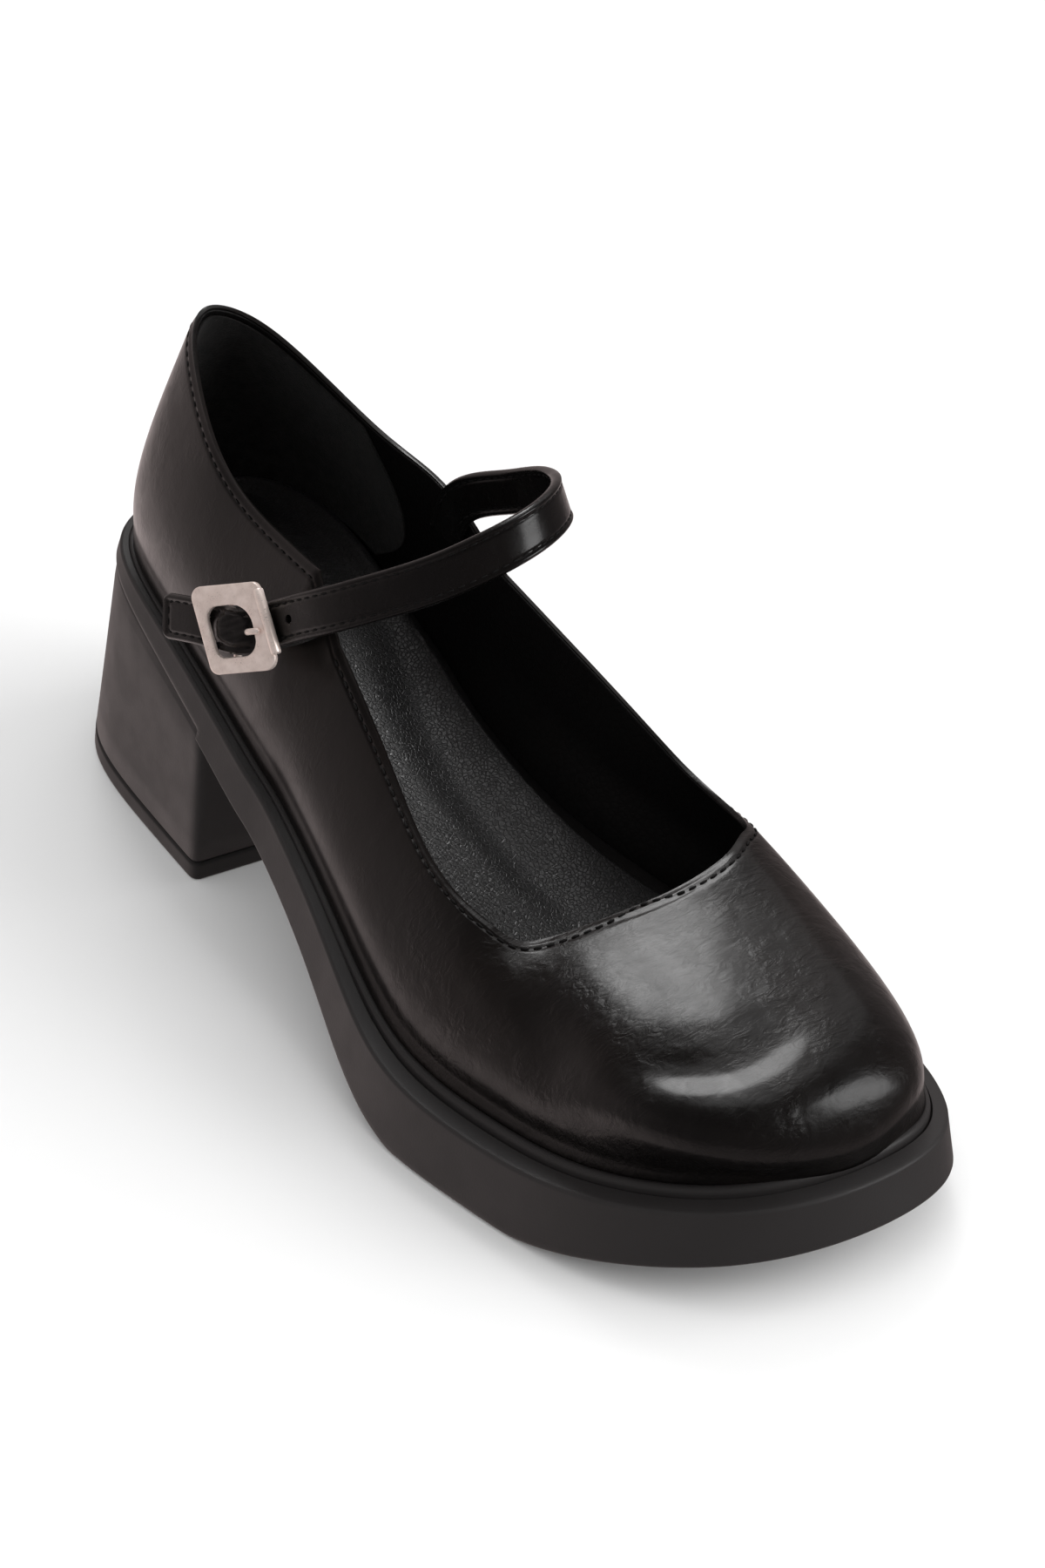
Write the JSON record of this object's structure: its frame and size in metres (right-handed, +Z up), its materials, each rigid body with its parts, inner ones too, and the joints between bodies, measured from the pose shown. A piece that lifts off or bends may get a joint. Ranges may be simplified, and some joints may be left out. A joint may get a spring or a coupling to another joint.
{
  "type": "mary jane shoe",
  "caption": "Right platform Mary Jane with a square toe, block heel, instep strap and square buckle, hollow inside from toe to heel.",
  "frame": {"origin": "on the floor, under the centre of the shoe's box", "axes": "+Z up, +Y from the toe to the heel, +X to the inner side of the right foot"},
  "size_m": [0.103, 0.2588, 0.1155],
  "materials": {
    "patent_leather": "glossy black leather with a fine crinkle",
    "sole_rubber": "matte black moulded sole and heel",
    "lift_rubber": "matte black wearing layer",
    "lining_leather": "black pebbled insole",
    "elastic_web": "black ribbed elastic",
    "satin_nickel": "satin nickel plate"
  },
  "bodies": {
    "root": {"upper": "patent_leather", "sole_unit": "sole_rubber", "heel_top_lift": "lift_rubber", "insole": "lining_leather", "strap": "patent_leather", "buckle_anchor": "elastic_web", "buckle_frame": "satin_nickel", "buckle_prong": "satin_nickel"}
  },
  "joints": []
}
